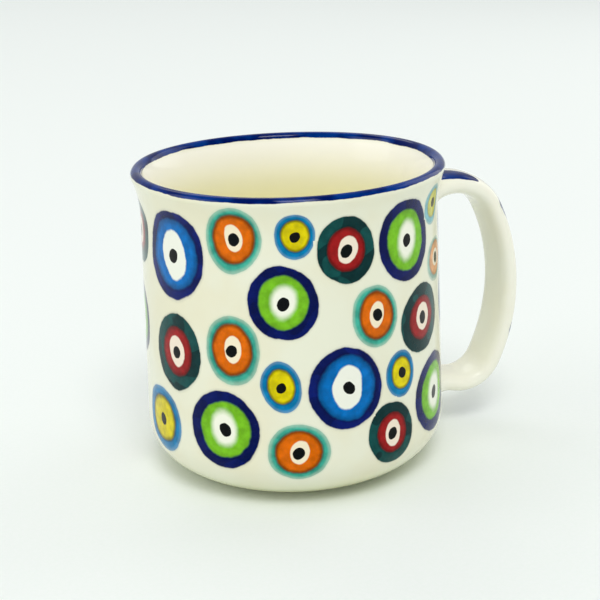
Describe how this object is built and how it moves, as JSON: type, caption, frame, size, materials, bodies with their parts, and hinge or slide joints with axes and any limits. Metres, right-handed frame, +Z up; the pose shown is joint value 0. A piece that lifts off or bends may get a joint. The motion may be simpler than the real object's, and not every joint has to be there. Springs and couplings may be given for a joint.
{
  "type": "mug",
  "caption": "Round camping mug with a flared lip, a rounded bottom corner on a foot ring, and a strap handle; ivory glaze with painted ringed dots and a cobalt lip.",
  "frame": {"origin": "the point on the table under the cup's axis", "axes": "+Z up along the cup's axis, +X towards the handle"},
  "size_m": [0.1206, 0.092, 0.091],
  "materials": {
    "ivory_glaze": "glossy clear glaze over ivory stoneware, hand-painted with ringed dots in underglaze colours",
    "handle_glaze": "glossy clear glaze over ivory stoneware, with cobalt brush strokes on the outer face",
    "cobalt_band": "glossy clear glaze over brushed cobalt, lighter where the glaze thins over the lip"
  },
  "bodies": {
    "root": {"cup_body": "ivory_glaze", "handle": "handle_glaze", "upper_joint_slip": "handle_glaze", "lower_joint_slip": "handle_glaze", "rim_band": "cobalt_band"}
  },
  "joints": []
}
